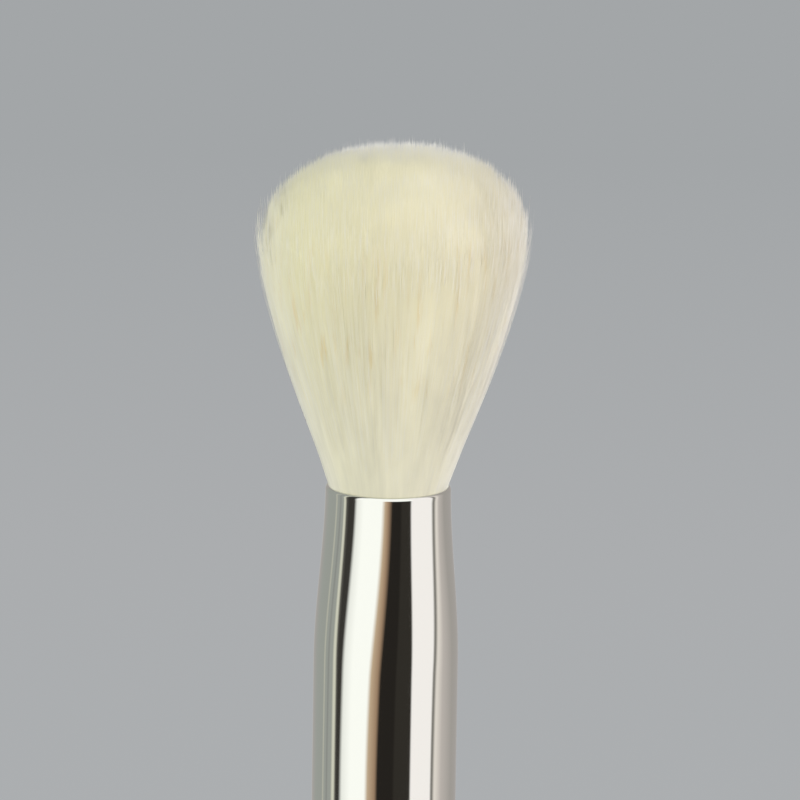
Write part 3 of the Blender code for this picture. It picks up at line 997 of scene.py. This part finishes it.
def ochre_streaks_and_depth_shade(tree, place, upwards):
    """How much ochre shows at a spot: in streaks on the outer hair, and a little on hair below the
    surface, as painted shade.
    """
    stain, outer = hair_streaks(tree, place, OCHRE_SEED, OCHRE_FINENESS)
    ochre = mapped(tree, stain, *OCHRE_RANGE)
    ochre = math_node(tree, "MULTIPLY", ochre, mapped(tree, upwards, *OCHRE_HEIGHTS))
    ochre = math_node(tree, "MULTIPLY", math_node(tree, "MULTIPLY", ochre, outer), OCHRE_SHARE)
    # Hair below the surface turns a little ochre: painted shade.
    depth_shade = math_node(tree, "MULTIPLY", hair_value(tree, "depth_shade"), DEPTH_SHADE_OCHRE_SHARE)
    return math_node(tree, "MAXIMUM", ochre, depth_shade)


# %% Hair materials
PACKED_WAVES = (9000, 9000, 250)
PACKED_TONES = (0.90, 1.02)
STRAY_PALENESS = 0.3
WISP_LIGHT_PALENESS = 0.35


def hair_material(name, tone_of, paleness=0.0):
    """Goat hair, with a tree's own way to tell one hair's tone from the next."""
    material, tree, output = new_material(name)
    place = add_node(tree, "ShaderNodeTexCoord").outputs["Object"]
    axes = add_node(tree, "ShaderNodeSeparateXYZ", inputs={"Vector": place}).outputs
    rightwards = mapped(tree, axes["X"], -HAIR_HALF_WIDTH, HAIR_HALF_WIDTH)
    upwards = mapped(tree, axes["Z"], MOUTH_HEIGHT, MOUTH_HEIGHT + FULL_CREAM_HEIGHT)
    # Towards the right the cream turns pink: painted light, the pink of the light from that side.
    ends = mixed(tree, rightwards, (*CREAM, 1), (*PINK_LIT_CREAM, 1))
    colour = mixed(tree, upwards, (*ROOT_CREAM, 1), ends)
    colour = mixed(tree, ochre_streaks_and_depth_shade(tree, place, upwards), colour, (*OCHRE, 1))
    # Whiter towards the sides and the back: painted rim light, the light that shines through the
    # thin hair at the outline.
    colour = mixed(tree, painted_rim_light(tree), colour, (*FRINGE_WHITE, 1))
    colour = mixed(tree, paleness, colour, (*FRINGE_WHITE, 1))

    # Light and dark streaks along the outer hair: partly the hair's own tone, partly painted shade
    # and light of the grooves between locks.
    streak, outer = hair_streaks(tree, place, STREAK_SEED)
    depth = varied(tree, upwards, *STREAK_DEPTH)
    streak_tone_and_shade = math_node(tree, "MULTIPLY", math_node(tree, "SUBTRACT", streak, NOISE_MIDDLE), depth)
    streak_tone_and_shade = math_node(tree, "ADD", math_node(tree, "MULTIPLY", streak_tone_and_shade, outer), 1.0)
    surface = {
        "Base Color": scaled(tree, colour, math_node(tree, "MULTIPLY", tone_of(tree), streak_tone_and_shade)),
        "Roughness": 0.55,
        "Specular IOR Level": 0.3,
        "Sheen Weight": 1.0,
        "Sheen Roughness": 0.25,
    }
    end_material(tree, output, surface)
    return material


def tone_by_hair(tree):
    """The tone that each hair carries."""
    return hair_value(tree, "tone")


def tone_by_streak(tree):
    """Streaks that run along the hair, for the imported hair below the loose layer."""
    return varied(tree, stretched_noise(tree, PACKED_WAVES), *PACKED_TONES)


goat_hair = hair_material("goat_hair", tone_by_hair)
packed_hair = hair_material("packed_hair", tone_by_streak)
stray_hair = hair_material("stray_hair", tone_by_hair, STRAY_PALENESS)
# The wisps are paler: painted light, the light that shines through their thin ends.
wisp_hair_with_painted_light = hair_material("wisp_hair_with_painted_light", tone_by_hair, WISP_LIGHT_PALENESS)
for material in (goat_hair, packed_hair, stray_hair, wisp_hair_with_painted_light):
    print(f"{material.name}: {len(material.node_tree.nodes)} nodes")

# %% [markdown]
# ## Packed hair
# Deep in the bundle the hairs lie so close that no light passes between them. Modelling those
# one by one would cost a great deal and show nothing, so a closed body fills the middle, a
# little smaller than the bundle, and the loose hairs grow out of it.

# %% Packed hair body
CORE_SHARE = 0.89
CORE_DROP = 2.2 * MM
CORE_STEPS = 96
CORE_SIDE_LEVELS = 26
CORE_DOME_LEVELS = 16
ROOT_HEIGHT = -(RESIN_DEPTH + RESIN_SLICE / 2)


def core_line(angle):
    """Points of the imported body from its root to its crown, in one direction."""
    across, back = math.cos(angle), math.sin(angle)
    rim = tip_height(CORE_SHARE * across, CORE_SHARE * back) - CORE_DROP
    steps = [(1.0, height) for height in evenly(ROOT_HEIGHT, rim, CORE_SIDE_LEVELS)]
    for share in evenly(1.0, 0.0, CORE_DOME_LEVELS)[1:]:
        place = CORE_SHARE * share
        steps.append((share, tip_height(place * across, place * back) - CORE_DROP))
    line = []
    for share, height in steps:
        half_width = bundle_reach(height, HAIR_HALF_WIDTH) * CORE_SHARE * share
        half_depth = bundle_reach(height, HAIR_HALF_DEPTH) * CORE_SHARE * share
        line.append((half_width * across, half_depth * back, MOUTH_HEIGHT + height))
    return [(0.0, 0.0, line[0][2])] + line


lines = [core_line(2 * math.pi * step / CORE_STEPS) for step in range(CORE_STEPS)]
core = skinned_piece("hair_packed", lines, packed_hair)
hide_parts("hair_tuft")

# %% [markdown]
# ## Places of the hairs
# Places drawn at random would leave bare spots, so the hairs are spread over the disc in the
# pattern of a sunflower, which is even everywhere, and each is nudged a little. Hairs near one
# another lean together and form soft locks: each is drawn a little towards the middle of its
# lock, more so towards its tip. The outermost hairs are drawn inwards by random amounts, most
# of all on the left, which leaves a soft outline. A seed keeps every draw the same from run to
# run.

# %% Places
HAIR_COUNT = 50000
GOLDEN_TURN = math.pi * (3 - math.sqrt(5))
NUDGE = 0.5
SEED = 11

chance = np.random.default_rng(SEED)


def sunflower(count, turn=0.0):
    """Points spread evenly over the disc of radius 1."""
    number = np.arange(count)
    radius = np.sqrt((number + 0.5) / count)
    angle = number * GOLDEN_TURN + turn
    return np.stack([radius * np.cos(angle), radius * np.sin(angle)], 1)


places = sunflower(HAIR_COUNT)
places += chance.uniform(-NUDGE, NUDGE, places.shape) * math.sqrt(math.pi / HAIR_COUNT)
places /= np.maximum(np.hypot(*places.T), 1.0)[:, None]
distance = np.hypot(*places.T)
print(f"{HAIR_COUNT} hairs, {distance.mean():.2f} from the middle on average")

# %% Locks
LOCK_COUNT = 230
LOCK_TURN = 0.7
LOCK_NUDGE = 0.015
LOCK_PULL = (0.0, 0.10)
LOCK_LIFT = 0.008
BATCH = 5000

locks = sunflower(LOCK_COUNT, LOCK_TURN) + chance.normal(0, LOCK_NUDGE, (LOCK_COUNT, 2))
nearest = np.empty(HAIR_COUNT, int)
for start in range(0, HAIR_COUNT, BATCH):
    some = places[start : start + BATCH]
    gaps = ((some[:, None, :] - locks[None, :, :]) ** 2).sum(2)
    nearest[start : start + BATCH] = gaps.argmin(1)
pull = chance.uniform(*LOCK_PULL, LOCK_COUNT)[nearest]
lift = chance.normal(0, LOCK_LIFT, LOCK_COUNT)[nearest]
gather = (locks[nearest] - places) * pull[:, None] + places * lift[:, None]
print(f"{LOCK_COUNT} locks, the largest of {np.bincount(nearest).max()} hairs")

# %% Soft outline
FUZZ_START = 0.88
FUZZ_DEPTH = (0.14, 0.06)
SWAY = 0.006

loose_share = np.clip((distance - FUZZ_START) / (1 - FUZZ_START), 0, 1)
draw_in = blend(*FUZZ_DEPTH, (1 + places[:, 0]) / 2) * loose_share
gather -= places * (draw_in * np.sqrt(chance.uniform(0, 1, HAIR_COUNT)))[:, None]
sway = chance.normal(0, SWAY, places.shape)
print(f"{np.count_nonzero(loose_share)} loose hairs round the outside")

# %% Tips and tones
TIP_SCATTER = 0.22 * MM
OUTER_START = 0.7
OUTER_SCATTER = 1.6 * MM
LOCK_TIP_SCATTER = 0.12 * MM
TONE_SPREAD = 0.008
LOCK_TONE_SPREAD = 0.014

outer_share = np.clip((distance - OUTER_START) / (1 - OUTER_START), 0, 1)
tips = tip_height(*places.T) + chance.normal(0, TIP_SCATTER, HAIR_COUNT)
tips -= np.abs(chance.normal(0, OUTER_SCATTER, HAIR_COUNT)) * outer_share
tips += chance.normal(0, LOCK_TIP_SCATTER, LOCK_COUNT)[nearest]
tones = 1 + chance.normal(0, TONE_SPREAD, HAIR_COUNT)
tones += chance.normal(0, LOCK_TONE_SPREAD, LOCK_COUNT)[nearest]
print(f"tips from {tips.min() / MM:.1f} to {tips.max() / MM:.1f} mm over the mouth")

# %% [markdown]
# ## Which way the dome faces
# The ends of the hairs form a smooth dome. The direction that it faces at each hair comes from
# its slope there, and the shading of the hair's end is turned towards it later on.

# %% Directions of the dome
MOST_BACKWARDS = 0.15
SLOPE_STEP = 0.02
SLOPE_SHARE = 0.97


def dome_slope(across, back, step_across, step_back):
    """How steeply the dome rises in one direction, measured over two small steps."""
    ahead = tip_height(across + step_across, back + step_back)
    behind = tip_height(across - step_across, back - step_back)
    return (ahead - behind) / (2 * SLOPE_STEP)


across, back = (places * SLOPE_SHARE).T
sideways = -dome_slope(across, back, SLOPE_STEP, 0.0) / HAIR_HALF_WIDTH
backwards = -dome_slope(across, back, 0.0, SLOPE_STEP) / HAIR_HALF_DEPTH
backwards = np.minimum(backwards, MOST_BACKWARDS)
ends_face = np.stack([sideways, backwards, np.ones(HAIR_COUNT)], 1)
ends_face /= np.linalg.norm(ends_face, axis=1)[:, None]
print(f"the dome faces up to {math.degrees(math.acos(ends_face[:, 2].min())):.0f} degrees off +Z")

# %% [markdown]
# ## One tree for all hairs
# Hairs could be drawn as curves, but the brush has to end as plain meshes, so each is a
# three-sided cone, bent along its path. The tree puts one upright cone of height 1 at every
# point, makes the copies real, and then moves each vertex: its height on the cone says how far
# along the hair it lies. The two curves that widen the bundle are sampled from the same formula
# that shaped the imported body. Each hair also gets its own cell of a flat map, so that its
# colour can be stored.

# %% Curves of the bundle
CURVE_FOOT = -5 * MM
CURVE_TOP = 36 * MM
CURVE_REACH = 15 * MM
CURVE_PARTS = 40


def reach_curve(tree, height, half):
    """The bundle's reach at a height, as a Float Curve sampled from the formula."""
    share = mapped(tree, height, CURVE_FOOT, CURVE_TOP)
    made = add_node(tree, "ShaderNodeFloatCurve", inputs={"Value": share})
    points = made.mapping.curves[0].points
    for number, spot in enumerate(evenly(0.0, 1.0, CURVE_PARTS)):
        reach = bundle_reach(blend(CURVE_FOOT, CURVE_TOP, spot), half) / CURVE_REACH
        if number in (0, CURVE_PARTS):
            points[0 if number == 0 else -1].location = (spot, reach)
        else:
            points.new(spot, reach)
    made.mapping.update()
    return math_node(tree, "MULTIPLY", made.outputs[0], CURVE_REACH)


# %% Values that hairs carry
def carried(tree, name, kind="FLOAT"):
    """A value that every hair carries."""
    made = add_node(
        tree, "GeometryNodeInputNamedAttribute", {"data_type": kind}, {"Name": name}
    )
    return made.outputs["Attribute"]


def stored(tree, shape, name, kind, domain, value):
    """The shape with a value stored on it under a name."""
    made = add_node(
        tree,
        "GeometryNodeStoreNamedAttribute",
        {"data_type": kind, "domain": domain},
        {"Geometry": shape, "Name": name, "Value": value},
    )
    return made.outputs[0]


# %% Hair tree
HAIR_SIDES = 3
CELL_MIDDLE = (0.5, 0.5, 0.0)
CELL_FILL = 0.46
GATHER_POWER = 2.0
TAPER_START = 0.55
TIP_SHARE = 0.25
TINY = 1e-4


def hair_tree():
    """The tree that grows one piece's hairs from its points."""
    tree, given = new_shape_tree("hair", {"Segments": "Int", "Finish": "Material"})
    cone = add_node(
        tree,
        "GeometryNodeMeshCone",
        {"fill_type": "NONE"},
        {
            "Vertices": HAIR_SIDES,
            "Side Segments": given["Segments"],
            "Radius Top": 0.0,
            "Radius Bottom": 1.0,
            "Depth": 1.0,
        },
    )
    copies = add_node(
        tree,
        "GeometryNodeInstanceOnPoints",
        inputs={"Points": given["Geometry"], "Instance": cone.outputs["Mesh"]},
    )
    real = add_node(
        tree, "GeometryNodeRealizeInstances", inputs={"Geometry": copies.outputs[0]}
    ).outputs[0]
    spot = add_node(tree, "GeometryNodeInputPosition").outputs[0]
    axes = add_node(tree, "ShaderNodeSeparateXYZ", inputs={"Vector": spot}).outputs
    along = axes["Z"]
    left = math_node(tree, "SUBTRACT", 1.0 + TINY, along)
    section = combined(tree, X=axes["X"], Y=axes["Y"])
    section = scaled(tree, section, math_node(tree, "DIVIDE", 1.0, left))

    spread = math_node(tree, "MULTIPLY", math_node(tree, "SQRT", left), CELL_FILL)
    in_cell = vector_node(tree, "ADD", scaled(tree, section, spread), CELL_MIDDLE)
    in_cell = scaled(tree, in_cell, carried(tree, "cell_size"))
    map_spot = vector_node(tree, "ADD", carried(tree, "cell", "FLOAT_VECTOR"), in_cell)
    real = stored(tree, real, "OFBake", "FLOAT2", "CORNER", map_spot)

    start, tip = carried(tree, "start"), carried(tree, "tip")
    climb = math_node(tree, "MULTIPLY", math_node(tree, "SUBTRACT", tip, start), along)
    height = math_node(tree, "ADD", start, climb)
    length_share = mapped(tree, height, 0.0, HAIR_LENGTH)
    bend = math_node(tree, "POWER", length_share, GATHER_POWER)
    bow = math_node(tree, "SINE", math_node(tree, "MULTIPLY", length_share, math.pi))
    gathered = scaled(tree, carried(tree, "gather", "FLOAT_VECTOR"), bend)
    swayed = scaled(tree, carried(tree, "sway", "FLOAT_VECTOR"), bow)
    share = vector_node(tree, "ADD", carried(tree, "place", "FLOAT_VECTOR"), gathered)
    share = vector_node(tree, "ADD", share, swayed)
    half_width = reach_curve(tree, height, HAIR_HALF_WIDTH)
    half_depth = reach_curve(tree, height, HAIR_HALF_DEPTH)
    middle = vector_node(tree, "MULTIPLY", share, combined(tree, X=half_width, Y=half_depth))
    raised = combined(tree, Z=math_node(tree, "ADD", height, MOUTH_HEIGHT))
    middle = vector_node(tree, "ADD", middle, raised)

    taper = mapped(tree, along, 1.0, TAPER_START)
    girth = math_node(tree, "ADD", math_node(tree, "MULTIPLY", taper, 1 - TIP_SHARE), TIP_SHARE)
    girth = math_node(tree, "MULTIPLY", girth, carried(tree, "girth"))
    final = vector_node(tree, "ADD", middle, scaled(tree, section, girth))
    bent = add_node(
        tree, "GeometryNodeSetPosition", inputs={"Geometry": real, "Position": final}
    )
    soft = add_node(tree, "GeometryNodeSetShadeSmooth", inputs={"Geometry": bent.outputs[0]})
    end_shape_tree(tree, soft.outputs[0], given["Finish"])
    return tree


hair = hair_tree()
print(f"hair tree: {len(hair.nodes)} nodes")

# %% [markdown]
# ## Growing the hairs
# Hairs at the rim of the bundle are seen from root to tip, so they run the whole way down into
# the resin. Of the hairs further in, only the ends can be seen, so they start inside the
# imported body. Each piece holds the hairs of one slice of the bundle, which keeps every mesh
# at a handy size. The shading of each hair is turned towards that of the whole bundle, so that
# the hairs read together as one soft form.


# %% Values on meshes
def with_zero(pairs):
    """Pairs with a third value of 0, as a vector attribute needs them."""
    return np.concatenate([pairs, np.zeros((len(pairs), 1))], 1)


def bare_points(name, values):
    """A mesh of bare points that carry these values, with a hair to grow at each."""
    mesh = bpy.data.meshes.new(name)
    mesh.vertices.add(len(values["tip"]))
    for label, value in values.items():
        kind, field = ("FLOAT_VECTOR", "vector") if value.ndim == 2 else ("FLOAT", "value")
        attribute = mesh.attributes.new(label, kind, "POINT")
        attribute.data.foreach_set(field, np.ascontiguousarray(value, np.float32).ravel())
    return mesh


def read_vectors(mesh, name):
    """The vectors that a mesh's vertices carry under a name."""
    values = np.empty(len(mesh.vertices) * 3, np.float32)
    mesh.attributes[name].data.foreach_get("vector", values)
    return values.reshape(-1, 3)


def read_values(mesh, name):
    """The numbers that a mesh's vertices carry under a name."""
    values = np.empty(len(mesh.vertices), np.float32)
    mesh.attributes[name].data.foreach_get("value", values)
    return values


def write_values(mesh, name, values):
    """Stores a number for each vertex under a name that the mesh already has."""
    mesh.attributes[name].data.foreach_set("value", values.astype(np.float32))


# %% Soft shading
SOFT_SHARE = 0.95
END_ZONE = 7 * MM
DEPTH_SHADE_REACH = 0.05
PAINTED_DEPTH_SHADE = 0.03


def unit(vectors):
    """Vectors with a length of 1."""
    return vectors / np.maximum(np.linalg.norm(vectors, axis=1), TINY)[:, None]


def soften(mesh):
    """Turns the shading of the hairs towards that of the whole bundle, and marks deep ones with
    painted shade.
    """
    own = np.empty(len(mesh.vertices) * 3, np.float32)
    mesh.vertices.foreach_get("normal", own)
    spots = read_vectors(mesh, "position")
    place = read_vectors(mesh, "place")
    outwards = unit(place * (1, HAIR_HALF_WIDTH / HAIR_HALF_DEPTH, 0))
    below_tip = read_values(mesh, "tip") - (spots[:, 2] - MOUTH_HEIGHT)
    at_end = np.sqrt(np.clip(1 - below_tip / END_ZONE, 0, 1))[:, None]
    bundle = unit(outwards * (1 - at_end) + read_vectors(mesh, "facing") * at_end)
    soft = unit(own.reshape(-1, 3) * (1 - SOFT_SHARE) + bundle * SOFT_SHARE)
    mesh.normals_split_custom_set_from_vertices(soft.tolist())
    # Hairs below the surface of the bundle are darkened: painted shade, since the hairs cast no
    # shadow on one another.
    below_surface = 1 - np.linalg.norm(place, axis=1)
    depth_shade = np.clip(below_surface / DEPTH_SHADE_REACH, 0, 1) * (1 - at_end[:, 0])
    mesh.attributes.new("depth_shade", "FLOAT", "POINT")
    write_values(mesh, "depth_shade", depth_shade)
    write_values(mesh, "tone", read_values(mesh, "tone") * (1 - PAINTED_DEPTH_SHADE * depth_shade))


# %% Grow
RIM_SHARE = 0.94
RIM_SEGMENTS = 14
RIM_PIECES = 4
INNER_LENGTH = 7 * MM
INNER_SEGMENTS = 3
INNER_PIECES = 4
HAIR_THICKNESS = 0.07 * MM
GIRTH_SPREAD = (0.8, 1.15)
LEFT_OVER = ("facing", "gather", "sway", "start", "tip", "girth", "cell", "cell_size")


def grow(name, numbers, starts, segments, girths, finish=goat_hair):
    """One piece with the hairs of these numbers, which let light through to one another."""
    count = len(numbers)
    side = math.ceil(math.sqrt(count))
    order = np.arange(count)
    cells = np.stack([order % side, order // side], 1) / side
    values = {
        "place": with_zero(places[numbers]),
        "facing": ends_face[numbers],
        "gather": with_zero(gather[numbers]),
        "sway": with_zero(sway[numbers]),
        "cell": with_zero(cells),
        "start": starts,
        "tip": tips[numbers],
        "girth": girths,
        "tone": tones[numbers],
        "cell_size": np.full(count, 1 / side),
    }
    source = bare_points(name + "_points", values)
    piece = grown_piece(name, hair, {"Segments": segments, "Finish": finish}, source)
    soften(piece.data)
    for label in LEFT_OVER:
        piece.data.attributes.remove(piece.data.attributes[label])
    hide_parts("hair_tuft")
    piece.visible_shadow = False


def in_slice(chosen, part, pieces):
    """The numbers of the chosen hairs that stand in one slice of the bundle, in order round it."""
    numbers = np.flatnonzero(chosen & (np.floor(slice_of * pieces) == part))
    return numbers[np.argsort(slice_of[numbers])]


slice_of = (np.arctan2(places[:, 1], places[:, 0]) / (2 * math.pi)) % 1.0
girths = HAIR_THICKNESS / 2 * chance.uniform(*GIRTH_SPREAD, HAIR_COUNT)
for part in range(RIM_PIECES):
    numbers = in_slice(distance > RIM_SHARE, part, RIM_PIECES)
    starts = np.full(len(numbers), ROOT_HEIGHT)
    grow(f"hair_rim_{part + 1}", numbers, starts, RIM_SEGMENTS, girths[numbers])
for part in range(INNER_PIECES):
    numbers = in_slice(distance <= RIM_SHARE, part, INNER_PIECES)
    starts = tips[numbers] - INNER_LENGTH
    grow(f"hair_inner_{part + 1}", numbers, starts, INNER_SEGMENTS, girths[numbers])

# %% [markdown]
# ## Stray hairs
# No bundle is perfectly combed. Among the outer hairs there are 1,500 strays, finer than the
# rest, which stand away from them and end a little higher or lower. Another 6,000 wisps, short
# and downy, reach just past the ends of the hair and soften the outline of the dome.

# %% Stray hairs
STRAY_COUNT = 1500
STRAY_SHARE = 0.94
STRAY_LEAN = (0.0, 0.06)
STRAY_TURN = 0.03
STRAY_TIPS = (-2.5 * MM, 0.7 * MM)
STRAY_GIRTH = 0.6
WISP_COUNT = 6000
WISP_SHARE = 0.3
WISP_RISE = 0.35 * MM
WISP_LENGTH = 2.5 * MM
WISP_TURN = 0.012

strays = chance.choice(np.flatnonzero(distance > STRAY_SHARE), STRAY_COUNT, replace=False)
strays = strays[np.argsort(slice_of[strays])]
lean = chance.uniform(*STRAY_LEAN, STRAY_COUNT)[:, None]
sideways = places[strays][:, ::-1] * (-1, 1) * chance.normal(0, STRAY_TURN, STRAY_COUNT)[:, None]
gather[strays] = places[strays] * lean + sideways
tips[strays] += chance.uniform(*STRAY_TIPS, STRAY_COUNT)
starts = np.full(STRAY_COUNT, ROOT_HEIGHT)
grow("hair_strays", strays, starts, RIM_SEGMENTS, girths[strays] * STRAY_GIRTH, stray_hair)

wisps = chance.choice(np.flatnonzero(distance > WISP_SHARE), WISP_COUNT, replace=False)
tips[wisps] = tip_height(*places[wisps].T) + np.abs(chance.normal(0, WISP_RISE, WISP_COUNT))
gather[wisps] += chance.normal(0, WISP_TURN, (WISP_COUNT, 2))
starts = tips[wisps] - WISP_LENGTH
grow("hair_wisps", wisps, starts, INNER_SEGMENTS, girths[wisps] * STRAY_GIRTH, wisp_hair_with_painted_light)

# %% [markdown]
# ## Sizes
# The dressed brush has to keep the size of the imported solids. Both boxes are printed.

# %% Sizes
dressed_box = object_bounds()
for label, (low, high) in (("solids", CAD_BOX), ("dressed", dressed_box)):
    print(label, [round((high[i] - low[i]) / MM, 2) for i in range(3)], "mm")
